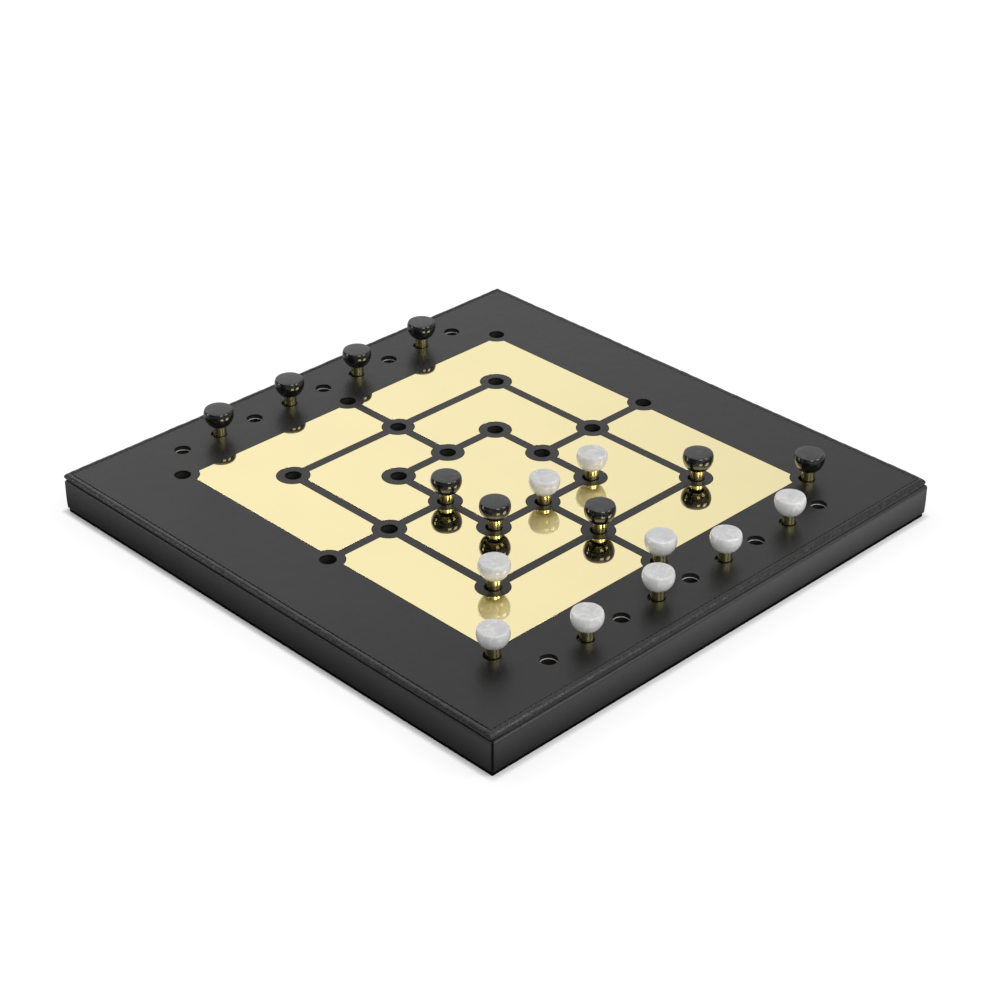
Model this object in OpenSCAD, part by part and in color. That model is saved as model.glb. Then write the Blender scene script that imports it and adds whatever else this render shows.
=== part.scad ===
// Nine mens morris box, in millimetres: a shallow leather-sided tray, a lift-off lid with the
// board inlaid in brass, and eighteen turned pegs that stand in the board's holes.
// +Z is up, the underside lies on z = 0, white's storage row is along -Y and black's along +Y.

/* [Board] */
// From the middle of the board to the holes on the outer square
outer_half = 144.4; // [130:0.2:160]
// From the middle of the board to the holes on the middle square
middle_half = 93.2; // [85:0.2:105]
// From the middle of the board to the holes on the inner square
inner_half = 44.4; // [38:0.2:55]
// Width of the leather lines between the brass plates
line_w = 6.7; // [4:0.1:9]
// Leather left round a hole, from its wall to the brass
spot_margin = 5.8; // [4:0.1:8]
// Narrow gap between a brass plate and the leather round it
plate_gap = 0.3; // [0.1:0.05:0.6]
// From the outer square's holes to the storage row beside them
row_gap = 26; // [22:0.5:32]
// Distance from hole to hole along a storage row
row_pitch = 31; // [26:0.5:36]
// Number of holes in a storage row
row_holes = 9; // [5:2:11]
// From a storage row to the edge of the lid
row_margin = 29.6; // [20:0.2:40]

/* [Lid] */
// Thickness of the top leather and of the brass set in it
skin_t = 1.2; // [0.8:0.1:2]
// Thickness of the panel under the leather
panel_t = 2; // [1.6:0.1:4]
// Width of the rolled leather binding round the lid
bind_w = 4.3; // [4.2:0.1:6.5]
// Radius that the binding's inner edge is rolled to, down to the seam
bind_roll = 2.1; // [1:0.1:2.1]
// Radius of the binding's outer edge
bind_edge = 1; // [0.5:0.1:2]
// How far the binding draws in from its outer edge down to its foot
bind_under = 0.9; // [0:0.1:1.2]
// Thickness of the binding's hem under the lid
bind_t = 1.2; // [0.8:0.1:2]
// Thickness of the block that holds the pegs and drops into the tray
block_t = 7.8; // [6:0.2:12]
// Wood left under each peg hole
hole_floor = 2; // [1:0.2:3]
// Play between the block and the tray's walls, on each side
lid_play = 1.1; // [0.8:0.1:2]
// Gap between the block and the binding turned under the lid
hem_gap = 1.6; // [0.5:0.1:3]
// How far the lid sits off the tray's middle, to the left and to the back
lid_shift = 0.6; // [0:0.05:0.6]

/* [Tray] */
// How much further the tray's leather stands out than the lid, on each side
tray_over = 0.6; // [0:0.1:2]
// Thickness of the leather on the tray's sides
side_t = 1.6; // [1:0.1:3]
// Radius of the side leather's upper and lower edges
side_round = 1.2; // [0.3:0.1:1.5]
// Dark gap between the side leather and the lid
part_gap = 0.7; // [0.3:0.1:2]
// Open seam where two side leathers meet at a corner
seam_w = 1.2; // [0.4:0.1:2]
// Thickness of the tray's wooden walls
wall_t = 7; // [5:0.5:12]
// Thickness of the tray's wooden floor
floor_t = 3; // [2:0.5:6]
// Thickness of the suede lining on the floor
lining_t = 1; // [0.5:0.1:2]
// Play round the lining
lining_play = 0.5; // [0.2:0.1:1]
// Clear height inside the tray, from the lining to the lid's block
room_h = 10.5; // [6:0.5:30]
// Height of the black base under the tray
pad_t = 3; // [1:0.1:5]
// How far the base lies in from the tray's sides
pad_inset = 1.6; // [1:0.1:10]

/* [Pegs] */
// Radius of a peg's metal stem
stem_r = 4.55; // [3:0.05:6]
// Radial play of a stem in its hole
peg_play = 0.95; // [0.6:0.05:1.5]
// Gap left on the side that a loose peg leans to
peg_side_gap = 0.32; // [0.3:0.01:0.5]
// Length of stem that shows between the board and the head
stem_show = 7; // [4:0.1:14]
// Chamfer at the foot of a stem
stem_chamfer = 0.6; // [0.2:0.1:1]
// Radius of the tenon that holds the head
tenon_r = 2.5; // [1.5:0.1:3]
// Length of that tenon
tenon_h = 6; // [4:0.5:8]
// Radial clearance of the tenon in the head
tenon_fit = 0.05; // [0.02:0.01:0.1]
// Largest radius of a head
head_r = 10.2; // [9:0.1:13]
// Radius of the flat top of a head
head_flat_r = 8.9; // [6:0.1:8.9]
// Height of a head
head_h = 12.4; // [9:0.1:18]
// Height of the rounded side between the flat top and the widest ring
head_edge_h = 4.2; // [0.8:0.1:5]
// Lip of the head round the top of the stem
neck_lip = 0.2; // [0.1:0.05:1]
// Fullness of the bowl under a head, where 2 is an ellipse
bowl_power = 1.7; // [1.6:0.1:3]

/* [Hidden] */
$fn = 64;
cut = 1;

hole_r = stem_r + peg_play;
spot_r = hole_r + spot_margin;
row_y = outer_half + row_gap;
lid_half = row_y + row_margin;
tray_half = lid_half + tray_over;
wall_out = tray_half - side_t;
wall_in = wall_out - wall_t;
block_half = wall_in - lid_play;
panel_half = lid_half - bind_w;
hem_half = block_half + hem_gap;
peg_shift = (peg_play - peg_side_gap) * sqrt(0.5);

floor_z = pad_t;
lining_z = floor_z + floor_t;
block_z = lining_z + lining_t + room_h;
hole_z = block_z + hole_floor;
panel_z = block_z + block_t;
seat_z = panel_z - bind_t;
skin_z = panel_z + panel_t;
top_z = skin_z + skin_t;
side_h = seat_z - part_gap - pad_t;
head_z = top_z + stem_show;

// Steps of a hole on the grid: 1, 2 and 3 are the inner, middle and outer squares
ring_half = [0, inner_half, middle_half, outer_half];
function grid(i) = sign(i) * ring_half[abs(i)];
function on_board(p) = [grid(p[0]), grid(p[1])];
function in_row(k, side) = [k * row_pitch, side * row_y];

eight_ways = [for (x = [-1:1], y = [-1:1]) if (x != 0 || y != 0) [x, y]];
board_holes = [for (ring = [1:3], way = eight_ways) on_board(ring * way)];
row_steps = [for (k = [0:row_holes - 1]) k - (row_holes - 1) / 2];
row_places = [for (side = [-1, 1], k = row_steps) in_row(k, side)];
all_holes = concat(board_holes, row_places);

// Where the pegs stand: five of each colour on the board and four in the owner's row
row_pegs = [-3, -1, 1, 3];
white_play = [[-3, -3], [-2, -2], [0, -3], [0, -1], [1, -1]];
black_play = [[3, -3], [2, -2], [0, -2], [-1, -1], [-1, 0]];
white_pegs = concat([for (p = white_play) on_board(p)], [for (k = row_pegs) in_row(k, -1)]);
black_pegs = concat([for (p = black_play) on_board(p)], [for (k = row_pegs) in_row(k, 1)]);
numbers = [for (i = [1:len(white_pegs)]) i];

sides = ["front", "right", "back", "left"];
corners = ["front_left", "front_right", "back_right", "back_left"];

// A square slab about the Z axis
module slab(half, z, t) {
    translate([-half, -half, z]) cube([2 * half, 2 * half, t]);
}

// Round cutters from one height to another, at a list of places
module drills(places, r, z_low, z_high) {
    for (p = places) translate([p[0], p[1], z_low]) cylinder(r = r, h = z_high - z_low);
}

// Turns a front piece to side 0 front, 1 right, 2 back or 3 left
module to_side(i) {
    rotate([0, 0, 90 * i]) children();
}

// Moves the lid and all that it carries to where it sits on the tray
module on_lid() {
    translate([-lid_shift, lid_shift, 0]) children();
}

// Outline of one length of edging between two mitred ends
module mitred(half, inner, back) {
    polygon([[back - half, -half], [half - back, -half], [inner - back, -inner], [back - inner, -inner]]);
}

// A length of edging along the front: a profile drawn in Y and Z, cut to its mitres
module edging(half, inner, back, z, t) {
    intersection() {
        rotate([90, 0, 90]) linear_extrude(height = 2 * half + 2 * cut, center = true) children();
        translate([0, 0, z]) linear_extrude(height = t) mitred(half, inner, back);
    }
}

// A square of leather or brass on the board with the lines, less the rounds at the holes
module board_field(outside, inside, grow) {
    difference() {
        square(2 * (outside - line_w / 2 + grow), center = true);
        if (inside > 0) {
            square(2 * (inside + line_w / 2 - grow), center = true);
            square([line_w - 2 * grow, 2 * outside], center = true);
            square([2 * outside, line_w - 2 * grow], center = true);
        }
        for (p = board_holes) translate(p) circle(r = spot_r - grow);
    }
}

// The quarter of a field at corner 0 front left, 1 front right, 2 back right or 3 back left
module quarter(i, outside, inside, grow) {
    intersection() {
        board_field(outside, inside, grow);
        rotate(90 * i) translate([-2 * outside, -2 * outside]) square(2 * outside);
    }
}

module plate_solid() {
    color("gold") on_lid() translate([0, 0, skin_z]) linear_extrude(height = skin_t) children();
}

module base_pad() {
    color("black") slab(tray_half - pad_inset, 0, pad_t);
}

module tray_floor() {
    color([0.3, 0.22, 0.15]) slab(wall_out, floor_z, floor_t);
}

module tray_lining() {
    color("dimgray") slab(wall_in - lining_play, lining_z, lining_t);
}

module tray_wall(i) {
    color([0.12, 0.1, 0.09]) to_side(i) translate([0, 0, lining_z])
        linear_extrude(height = seat_z - lining_z) mitred(wall_out, wall_in, 0);
}

// Leather on one side, with its upper and lower edges turned over in a small radius
module side_leather(i) {
    color([0.16, 0.16, 0.17]) to_side(i)
        edging(tray_half, wall_out, seam_w / 2, pad_t, side_h) {
            translate([-tray_half + side_round, pad_t]) square([side_t - side_round, side_h]);
            translate([-tray_half, pad_t + side_round]) square([side_t, side_h - 2 * side_round]);
            for (z = [pad_t + side_round, pad_t + side_h - side_round])
                translate([-tray_half + side_round, z]) circle(r = side_round);
        }
}

// Block with a blind hole for each peg, which also keeps the lid in place on the tray
module lid_peg_block() {
    color("saddlebrown") on_lid() difference() {
        slab(block_half, block_z, block_t);
        drills(all_holes, hole_r, hole_z, panel_z + cut);
    }
}

module lid_panel() {
    color("saddlebrown") on_lid() difference() {
        slab(panel_half, panel_z, panel_t);
        drills(all_holes, hole_r, panel_z - cut, skin_z + cut);
    }
}

// Top leather, cut away for the nine brass plates and drilled for the pegs
module lid_top_leather() {
    color([0.25, 0.25, 0.26]) on_lid() difference() {
        slab(panel_half, skin_z, skin_t);
        translate([0, 0, skin_z - cut]) linear_extrude(height = skin_t + 2 * cut) {
            board_field(inner_half, 0, plate_gap);
            for (i = [0:3]) {
                quarter(i, middle_half, inner_half, plate_gap);
                quarter(i, outer_half, middle_half, plate_gap);
            }
        }
        drills(all_holes, hole_r, skin_z - cut, top_z + cut);
    }
}

// Section of the binding along the front edge: a bead level with the leather and rolled down to
// the seam, an outer face that draws in to a rounded foot, and a hem turned under the panel
module binding_section() {
    rim_h = top_z - seat_z;
    foot = bind_under + bind_t;
    translate([-lid_half, seat_z]) {
        polygon([
            [0, rim_h - bind_edge], [bind_edge, rim_h], [bind_w - bind_roll, rim_h],
            [bind_w, rim_h - bind_roll], [bind_w, bind_t], [bind_under, bind_t]
        ]);
        translate([bind_edge, rim_h - bind_edge]) circle(r = bind_edge);
        translate([bind_w - bind_roll, rim_h - bind_roll]) circle(r = bind_roll);
        translate([foot, bind_t]) circle(r = bind_t);
        translate([foot, 0]) square([lid_half - hem_half - foot, bind_t]);
    }
}

module lid_edge_binding() {
    color([0.2, 0.2, 0.21]) on_lid() for (i = [0:3])
        to_side(i) edging(lid_half, hem_half, 0, seat_z, top_z - seat_z) binding_section();
}

module plate_centre() {
    plate_solid() board_field(inner_half, 0, 0);
}

module plate_middle(i) {
    plate_solid() quarter(i, middle_half, inner_half, 0);
}

module plate_outer(i) {
    plate_solid() quarter(i, outer_half, middle_half, 0);
}

// Places a piece of a peg in its hole, leaning a little to the right and the front
module at_peg(p, z) {
    on_lid() translate([p[0] + peg_shift, p[1] - peg_shift, z]) children();
}

// Turned stem with a chamfered foot, a shoulder under the head and a tenon in it
module stem(p) {
    color("darkgoldenrod") at_peg(p, hole_z) {
        cylinder(r1 = stem_r - stem_chamfer, r2 = stem_r, h = stem_chamfer);
        translate([0, 0, stem_chamfer]) cylinder(r = stem_r, h = head_z - hole_z - stem_chamfer);
        translate([0, 0, head_z - hole_z]) cylinder(r = tenon_r, h = tenon_h);
    }
}

// Outline of a head from its flat top over the rounded edge and down the bowl to the neck
function edge_arc(steps) = [for (i = [0:steps]) let (a = 90 * i / steps)
    [head_flat_r + (head_r - head_flat_r) * sin(a), head_h - head_edge_h * (1 - cos(a))]];
function bowl_arc(steps, neck) = [for (i = [1:steps]) let (a = 90 * i / steps)
    [neck + (head_r - neck) * pow(cos(a), 2 / bowl_power),
     (head_h - head_edge_h) * (1 - pow(sin(a), 2 / bowl_power))]];

module head(p) {
    at_peg(p, head_z) difference() {
        rotate_extrude()
            polygon(concat([[0, head_h]], edge_arc(5), bowl_arc(14, stem_r + neck_lip), [[0, 0]]));
        translate([0, 0, -cut]) cylinder(r = tenon_r + tenon_fit, h = tenon_h + tenon_fit + cut);
    }
}

module white_head(n) {
    color("white") head(white_pegs[n - 1]);
}

module black_head(n) {
    color([0.08, 0.08, 0.09]) head(black_pegs[n - 1]);
}

module white_stem(n) {
    stem(white_pegs[n - 1]);
}

module black_stem(n) {
    stem(black_pegs[n - 1]);
}

base_pad();
tray_floor();
tray_lining();
for (i = [0:3]) tray_wall(i);
for (i = [0:3]) side_leather(i);
lid_peg_block();
lid_panel();
lid_top_leather();
lid_edge_binding();
plate_centre();
for (i = [0:3]) plate_middle(i);
for (i = [0:3]) plate_outer(i);
for (n = numbers) white_head(n);
for (n = numbers) white_stem(n);
for (n = numbers) black_head(n);
for (n = numbers) black_stem(n);
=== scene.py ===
"""Looks of the nine mens morris box, in metres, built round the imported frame.

The lid is covered in satin black leather with nine mirror-polished brass plates set in it. Its
edge is rolled and stitched, its holes are drilled for the pegs, and it lies on a leather-sided
tray. Eighteen pegs with turned stone heads stand in the holes.
"""

import logging
import math
from collections.abc import Callable, Sequence
from dataclasses import astuple, dataclass, field
from enum import Enum

import bmesh
import bpy
from mathutils import Matrix, Vector, noise


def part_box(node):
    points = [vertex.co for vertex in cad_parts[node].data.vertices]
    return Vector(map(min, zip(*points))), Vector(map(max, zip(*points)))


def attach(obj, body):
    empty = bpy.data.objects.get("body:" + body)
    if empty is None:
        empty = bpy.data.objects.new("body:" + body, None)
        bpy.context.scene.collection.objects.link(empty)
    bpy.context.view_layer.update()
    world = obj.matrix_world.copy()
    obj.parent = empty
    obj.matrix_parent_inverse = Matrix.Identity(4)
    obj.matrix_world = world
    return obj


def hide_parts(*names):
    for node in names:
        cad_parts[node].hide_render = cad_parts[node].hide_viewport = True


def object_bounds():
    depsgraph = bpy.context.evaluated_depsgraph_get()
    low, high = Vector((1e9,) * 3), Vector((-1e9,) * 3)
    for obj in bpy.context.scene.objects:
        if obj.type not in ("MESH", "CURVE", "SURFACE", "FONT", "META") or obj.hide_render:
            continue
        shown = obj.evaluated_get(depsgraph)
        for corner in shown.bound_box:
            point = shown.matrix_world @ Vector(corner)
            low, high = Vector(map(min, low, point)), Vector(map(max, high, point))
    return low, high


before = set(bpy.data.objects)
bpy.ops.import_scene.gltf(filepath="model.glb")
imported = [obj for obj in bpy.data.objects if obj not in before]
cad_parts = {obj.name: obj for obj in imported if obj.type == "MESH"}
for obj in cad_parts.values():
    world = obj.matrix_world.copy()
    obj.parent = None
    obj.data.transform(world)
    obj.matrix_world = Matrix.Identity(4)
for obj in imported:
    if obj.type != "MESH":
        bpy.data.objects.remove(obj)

MM = 0.001
MERGE = 1e-6  # metres within which two points are one
FINE_MERGE = 1e-7
LEVEL = 1e-5  # metres within which a point lies level with a face
FLAT = math.radians(0.5)  # the bend below which two faces are one
SHARP = math.radians(40)  # the bend past which an edge is a rim
DIAGONAL = math.sqrt(0.5)
CAD_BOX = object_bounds()
log = logging.getLogger("morris_box")

Colour = tuple[float, float, float, float]
Pair = tuple[float, float]
Shape = bmesh.types.BMesh
Edge = bmesh.types.BMEdge
Socket = bpy.types.NodeSocket
Operator = Callable[["Value", "Value | float"], "Value"]


class Stone(Enum):
    """The two stones that the peg heads are turned from, named as the frame names the pegs."""

    WHITE = "white"
    BLACK = "black"


class Side(Enum):
    """The four sides of the box, in the order of quarter turns from the front."""

    FRONT = 0
    RIGHT = 1
    BACK = 2
    LEFT = 3

    @property
    def turn(self) -> Matrix:
        """The turn about Z that carries a front piece to this side."""
        return Matrix.Rotation(self.value * math.pi / 2, 4, "Z")

    @property
    def outward(self) -> Vector:
        """The direction away from the box on this side."""
        return self.turn @ Vector((0, -1, 0))


@dataclass(frozen=True)
class NodeBox:
    """The box that a CAD node fills at rest."""

    low: Vector
    high: Vector

    @classmethod
    def of(cls, node: str) -> "NodeBox":
        """Reads a node's box from the frame."""
        return cls(*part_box(node))

    @property
    def centre(self) -> Vector:
        """The middle of the box."""
        return (self.low + self.high) / 2

    @property
    def half(self) -> float:
        """Half of the width along X."""
        return (self.high.x - self.low.x) / 2


def _operator(operation: str, swapped: bool = False) -> Operator:
    """Makes an operator of Value.

    Args:
        operation: the Math node's operation.
        swapped: True where the other number comes first, as in 1 - mask.

    Returns:
        The operator's method.
    """

    def apply(self: "Value", other: "Value | float") -> "Value":
        """This number and another, put through the operation."""
        return self._math(operation, *((other, self) if swapped else (self, other)))

    return apply


class Value:
    """A number that runs through a node tree and takes part in expressions."""

    __add__, __radd__ = _operator("ADD"), _operator("ADD", True)
    __sub__, __rsub__ = _operator("SUBTRACT"), _operator("SUBTRACT", True)
    __mul__, __rmul__ = _operator("MULTIPLY"), _operator("MULTIPLY", True)
    __truediv__, __pow__ = _operator("DIVIDE"), _operator("POWER")
    larger = _operator("MAXIMUM")

    def __init__(self, graph: "Graph", socket: Socket) -> None:
        """Keeps the graph that the number belongs to and the socket that carries it."""
        self.graph = graph
        self.socket = socket

    def _math(self, operation: str, *terms: "Value | float") -> "Value":
        """Adds one Math node, fed with some numbers in order."""
        made = self.graph.node("ShaderNodeMath", {"operation": operation}, dict(enumerate(terms)))
        return Value(self.graph, made.outputs[0])

    def __abs__(self) -> "Value":
        """This number without its sign."""
        return self._math("ABSOLUTE", self)

    def wave(self) -> "Value":
        """The sine of this number, brought to the range from 0 to 1."""
        return self._math("SINE", self) * 0.5 + 0.5

    def rise(self, low: float, high: float) -> "Value":
        """Maps this number smoothly to the range from 0 to 1.

        Args:
            low: where the result is still 0.
            high: where the result is 1. It may be the smaller of the two.

        Returns:
            The mapped number.
        """
        span = {"Value": self, "From Min": low, "From Max": high}
        made = self.graph.node("ShaderNodeMapRange", {"interpolation_type": "SMOOTHSTEP"}, span)
        return Value(self.graph, made.outputs["Result"])


Feed = Value | Socket | float | Sequence[float]


class Graph:
    """A node tree and the few ways in which this file adds nodes to it."""

    def __init__(self, tree: bpy.types.NodeTree) -> None:
        """Takes over a tree and empties it."""
        self.tree = tree
        tree.nodes.clear()

    def node(
        self,
        kind: str,
        settings: dict[str, object] | None = None,
        inputs: dict[str | int, Feed] | None = None,
    ) -> bpy.types.Node:
        """Adds a node, sets it up and feeds its sockets.

        Args:
            kind: the node's type.
            settings: its own settings, which are set before the sockets.
            inputs: a number, a colour or a link for each socket, by name or place.

        Returns:
            The new node.
        """
        made = self.tree.nodes.new(kind)
        for name, setting in (settings or {}).items():
            setattr(made, name, setting)
        for key, value in (inputs or {}).items():
            self.feed(made.inputs[key], value)
        return made

    def feed(self, socket: Socket, value: Feed) -> None:
        """Links a socket to a value, or sets it to a constant.

        Args:
            socket: the input socket.
            value: what it gets.
        """
        source = value.socket if isinstance(value, Value) else value
        if isinstance(source, Socket):
            self.tree.links.new(source, socket)
        else:
            socket.default_value = source

    def mix(self, factor: Feed, low: Feed, high: Feed) -> Socket:
        """Blends two colours: a factor of 0 gives the first and 1 the second."""
        made = self.node("ShaderNodeMix", {"data_type": "RGBA"}, {0: factor, 6: low, 7: high})
        return made.outputs[2]

    def axis(self, name: str, vector: Socket) -> Value:
        """The X, Y or Z of a vector."""
        return Value(self, self.node("ShaderNodeSeparateXYZ", {}, {0: vector}).outputs[name])


def grey(level: float, warmth: float = 0.0) -> Colour:
    """A grey, warmer where warmth is above 0 and cooler where it is below."""
    return (level * (1 + warmth), level, level * (1 - warmth), 1.0)


class Finish(Graph):
    """One material: a Principled shader that reads the piece's own Object coordinates."""

    def __init__(self, name: str, **constants: float | Sequence[float]) -> None:
        """Starts a material.

        Args:
            name: the material's name.
            constants: the shader's sockets that are the same all over, with _ for a space.
        """
        self.material = bpy.data.materials.new(name)
        self.material.use_nodes = True
        super().__init__(self.material.node_tree)
        self.shader = self.node("ShaderNodeBsdfPrincipled")
        self.node("ShaderNodeOutputMaterial", inputs={"Surface": self.shader.outputs[0]})
        self.place = self.node("ShaderNodeTexCoord").outputs["Object"]
        for key, value in constants.items():
            self.paint(key.replace("_", " "), value)

    def paint(self, socket: str, value: Feed) -> None:
        """Feeds one socket of the shader by name."""
        self.feed(self.shader.inputs[socket], value)

    def moved(self, scale: Sequence[float], turn: Sequence[float] = (0, 0, 0)) -> Socket:
        """The Object coordinates, turned and then stretched along each axis."""
        inputs = {"Vector": self.place, "Rotation": turn, "Scale": scale}
        return self.node("ShaderNodeMapping", {}, inputs).outputs[0]

    def cloud(
        self, grain: float, detail: float = 2.0, rough: float = 0.5, at: Feed | None = None
    ) -> Value:
        """Soft noise.

        Args:
            grain: the size of its patches in metres.
            detail: how many finer layers it has.
            rough: how strong the finer layers are.
            at: the coordinates, or None for the Object coordinates.

        Returns:
            A number around 0.5.
        """
        inputs = {"Vector": at or self.place, "Scale": 1 / grain}
        inputs |= {"Detail": detail, "Roughness": rough}
        return Value(self, self.node("ShaderNodeTexNoise", {}, inputs).outputs[0])

    def warped(self, grain: float, amount: float) -> Socket:
        """The Object coordinates pushed about by noise.

        Args:
            grain: the size of the noise in metres.
            amount: how far it pushes, in metres.

        Returns:
            The pushed coordinates.
        """
        noise_inputs = {"Vector": self.place, "Scale": 1 / grain, "Detail": 3.0}
        wander = self.node("ShaderNodeTexNoise", {}, noise_inputs).outputs["Color"]
        push_inputs = {0: wander, 1: (amount,) * 3, 2: self.place}
        made = self.node("ShaderNodeVectorMath", {"operation": "MULTIPLY_ADD"}, push_inputs)
        return made.outputs[0]

    def creases(self, grain: float, at: Feed) -> Value:
        """Distance to the borders of small cells, as leather's grain has them.

        Args:
            grain: the size of a cell in metres.
            at: the coordinates.

        Returns:
            A number that is 0 on the borders.
        """
        inputs = {"Vector": at, "Scale": 1 / grain}
        made = self.node("ShaderNodeTexVoronoi", {"feature": "DISTANCE_TO_EDGE"}, inputs)
        return Value(self, made.outputs["Distance"])

    def relief(self, *layers: tuple[Value, float]) -> None:
        """Feeds the shader's normal with one or more layers of bump.

        Args:
            layers: each a height from 0 to 1 and its depth in metres.
        """
        normal = None
        for height, depth in layers:
            inputs = {"Height": height, "Distance": depth, "Strength": 1.0}
            if normal is not None:
                inputs["Normal"] = normal
            normal = self.node("ShaderNodeBump", {}, inputs).outputs[0]
        self.paint("Normal", normal)


@dataclass(frozen=True)
class Leather:
    """Black leather with a fine grain, soft undulation and a satin surface."""

    name: str
    dark: float = 0.0045
    pale: float = 0.0075
    roughness: float = 0.3
    ior: float = 1.4
    coat_ior: float = 1.5
    cell: float = 0.9 * MM
    cell_depth: float = 0.02 * MM
    wrinkle: float = 14 * MM
    wrinkle_depth: float = 0.15 * MM
    painted_sheen: float = 0.0
    painted_sheen_span: Pair = (-4 * MM, 31 * MM)
    crack_span: Pair = (0.0, 0.16)
    patch_span: Pair = (0.3, 0.7)
    patch_matt: float = 0.08
    crack_matt: float = 0.05
    pore_share: float = 0.25

    def make(self) -> bpy.types.Material:
        """Builds the material. Its coat grows stronger the higher it lies, if at all: a painted
        sheen that lightens the upper part and leaves the lower part darker.

        Returns:
            The material.
        """
        coat = {"Coat_IOR": self.coat_ior, "Coat_Roughness": self.roughness}
        finish = Finish(self.name, IOR=self.ior, **coat)
        # Painted sheen: the coat weight rises with height, so the upper part looks lit and the
        # lower part shaded.
        if self.painted_sheen:
            height = finish.axis("Z", finish.place)
            finish.paint("Coat Weight", self.painted_sheen * height.rise(*self.painted_sheen_span))
        cells = finish.creases(self.cell, finish.warped(3 * self.cell, 0.8 * self.cell))
        grain = cells.rise(*self.crack_span)
        pores = finish.cloud(self.cell / 3, 2.0)
        patches = finish.cloud(5 * self.wrinkle, 3.0)
        swell = finish.cloud(self.wrinkle, 3.0, 0.45)
        tone = patches.rise(*self.patch_span)
        finish.paint("Base Color", finish.mix(tone, grey(self.dark, -0.02), grey(self.pale)))
        matt = self.patch_matt * (patches - 0.5) + self.crack_matt * (1 - grain)
        finish.paint("Roughness", self.roughness + matt)
        skin = grain * (1 - self.pore_share) + pores * self.pore_share
        finish.relief((swell, self.wrinkle_depth), (skin, self.cell_depth))
        return finish.material


@dataclass(frozen=True)
class Brass:
    """Brass with a polish that hairlines and a faint bloom break up."""

    name: str
    colour: Colour
    bloom: Colour
    roughness: float = 0.03
    hairlines: float = 0.02
    line_size: float = 0.12 * MM
    bloom_size: float = 45 * MM

    def make(self) -> bpy.types.Material:
        """Builds the material.

        Returns:
            The material.
        """
        finish = Finish(self.name, Metallic=1.0)
        bloom = finish.cloud(self.bloom_size, 4.0, 0.55)
        finish.paint("Base Color", finish.mix(bloom.rise(0.35, 0.75), self.colour, self.bloom))
        brushed = finish.moved((1, 0.02, 1), (0, 0, 0.6))
        lines = finish.cloud(self.line_size, 1.0, at=brushed)
        finish.paint("Roughness", self.roughness + self.hairlines * lines * bloom)
        return finish.material


@dataclass(frozen=True)
class TurnedBrass:
    """Brass with the fine rings that a lathe leaves round a stem."""

    name: str
    colour: Colour
    tarnish: Colour
    roughness: float = 0.14
    ring: float = 0.35 * MM
    ring_depth: float = 0.03 * MM
    drift_size: float = 0.5 * MM
    bloom_size: float = 6 * MM

    def make(self) -> bpy.types.Material:
        """Builds the material.

        Returns:
            The material.
        """
        finish = Finish(self.name, Metallic=1.0)
        bloom = finish.cloud(self.bloom_size, 3.0)
        finish.paint("Base Color", finish.mix(bloom.rise(0.4, 0.8), self.colour, self.tarnish))
        drift = finish.cloud(self.drift_size, 2.0, at=finish.moved((0.02, 0.02, 1)))
        height = finish.axis("Z", finish.place)
        rings = (height * (2 * math.pi / self.ring) + 5 * drift).wave()
        finish.paint("Roughness", self.roughness + 0.1 * bloom)
        finish.relief((rings * 0.5 + drift * 0.5, self.ring_depth))
        return finish.material


@dataclass(frozen=True)
class Marble:
    """Polished stone with broad clouds and thin wandering veins."""

    name: str
    body: Colour
    cloud: Colour
    vein: Colour
    vein_share: float
    ior: float
    depth: float = 0.0
    reach: float = 4 * MM
    roughness: float = 0.09
    grain: float = 9 * MM
    broad_vein: Pair = (0.035, 0.0)
    fine_vein: Pair = (0.018, 0.0)

    def make(self) -> bpy.types.Material:
        """Builds the material.

        Returns:
            The material.
        """
        finish = Finish(
            self.name,
            IOR=self.ior,
            Subsurface_Weight=self.depth,
            Subsurface_Radius=(1.0, 0.94, 0.88),
            Subsurface_Scale=self.reach,
        )
        at = finish.warped(self.grain, 0.9 * self.grain)
        mottle = finish.cloud(self.grain, 5.0, 0.6, at)
        broad = abs(finish.cloud(1.3 * self.grain, 3.0, 0.5, at) - 0.5).rise(*self.broad_vein)
        fine = abs(finish.cloud(0.45 * self.grain, 3.0, 0.6, at) - 0.5).rise(*self.fine_vein)
        patchy = finish.cloud(2 * self.grain, 1.0).rise(0.4, 0.62)
        veins = (broad + 0.5 * fine * patchy) * self.vein_share
        ground = finish.mix(mottle.rise(0.32, 0.68), self.body, self.cloud)
        finish.paint("Base Color", finish.mix(veins, ground, self.vein))
        finish.paint("Roughness", self.roughness + 0.06 * mottle * veins)
        return finish.material


@dataclass(frozen=True)
class Wood:
    """Wood with its grain drawn out along X, unless its stretch says otherwise."""

    name: str
    early: Colour
    late: Colour
    stretch: Sequence[float] = (0.06, 1, 1)
    roughness: float = 0.55
    ring: float = 5 * MM
    pore: float = 0.5 * MM
    depth: float = 0.06 * MM

    def make(self) -> bpy.types.Material:
        """Builds the material.

        Returns:
            The material.
        """
        finish = Finish(self.name)
        at = finish.moved(self.stretch)
        rings = finish.cloud(self.ring, 6.0, 0.6, at)
        pores = finish.cloud(self.pore, 2.0, 0.5, at)
        tone = rings.rise(0.35, 0.65) * 0.7 + pores * 0.3
        finish.paint("Base Color", finish.mix(tone, self.early, self.late))
        finish.paint("Roughness", self.roughness + 0.15 * pores)
        finish.relief((tone, self.depth))
        return finish.material


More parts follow.
